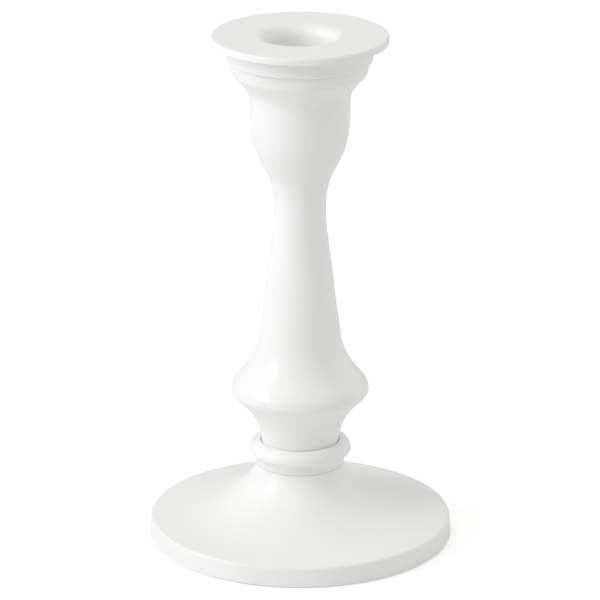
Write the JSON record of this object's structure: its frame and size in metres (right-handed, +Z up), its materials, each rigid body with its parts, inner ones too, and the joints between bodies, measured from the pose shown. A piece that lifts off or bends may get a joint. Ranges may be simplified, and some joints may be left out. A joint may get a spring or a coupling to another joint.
{
  "type": "wooden candlestick",
  "caption": "Turned wooden candlestick, painted white: round dished base, ringed collar, baluster stem and a flanged socket that holds one dinner candle.",
  "frame": {"origin": "centre of the resting face, the underside of the felt, on the turning axis", "axes": "+Z up along the turning axis, out of the candle socket; X and Y are equal, because the object is round"},
  "size_m": [0.1058, 0.1058, 0.181],
  "materials": {
    "painted_wood": "turned solid wood under smooth opaque satin white paint",
    "painted_steel": "pressed sheet steel in the same satin white paint",
    "zinc_plated_steel": "bright zinc plating",
    "felt": "pressed wool-mix felt, off-white"
  },
  "bodies": {
    "root": {"base": "painted_wood", "collar": "painted_wood", "stem": "painted_wood", "head_ring": "painted_wood", "candle_pan": "painted_steel", "pan_screw": "zinc_plated_steel", "stem_screw": "zinc_plated_steel", "washer": "zinc_plated_steel", "felt_pad": "felt"}
  },
  "joints": []
}
